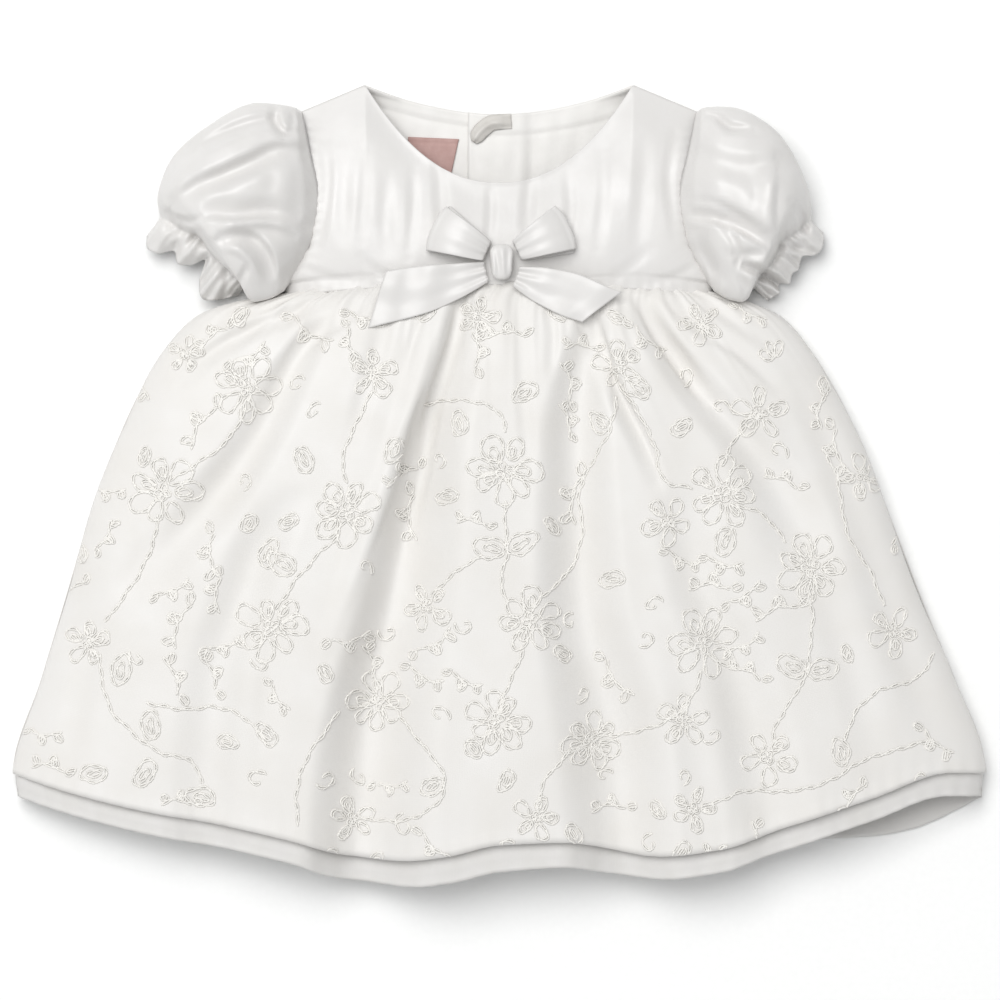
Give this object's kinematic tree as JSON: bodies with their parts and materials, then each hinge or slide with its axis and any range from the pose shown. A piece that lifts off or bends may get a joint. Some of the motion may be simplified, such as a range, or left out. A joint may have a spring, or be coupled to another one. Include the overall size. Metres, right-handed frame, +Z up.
{
  "type": "baby lace dress",
  "caption": "Baby's party dress laid on its back: satin bodice with puff sleeves and a ribbon bow, gathered embroidered lace skirt over a longer satin lining.",
  "frame": {"origin": "centre of the dress's outline on the surface that it lies on", "axes": "+X across the dress to the right of the picture, +Y from the hem to the neck, +Z up from the surface through the front"},
  "size_m": [0.467, 0.3833, 0.0428],
  "materials": {
    "satin": "satin",
    "lace": "embroidered organza",
    "lining": "satin",
    "label": "woven"
  },
  "bodies": {
    "root": {"bodice_front": "satin", "bodice_back_left": "satin", "bodice_back_right": "satin", "sleeve_left": "satin", "sleeve_right": "satin", "skirt_front": "lace", "skirt_back": "lace", "lining_front": "lining", "lining_back": "lining", "bow_loop_left": "satin", "bow_loop_right": "satin", "bow_tail_left": "satin", "bow_tail_right": "satin", "bow_knot": "satin", "neck_label": "label", "button_loop": "satin"}
  },
  "joints": []
}
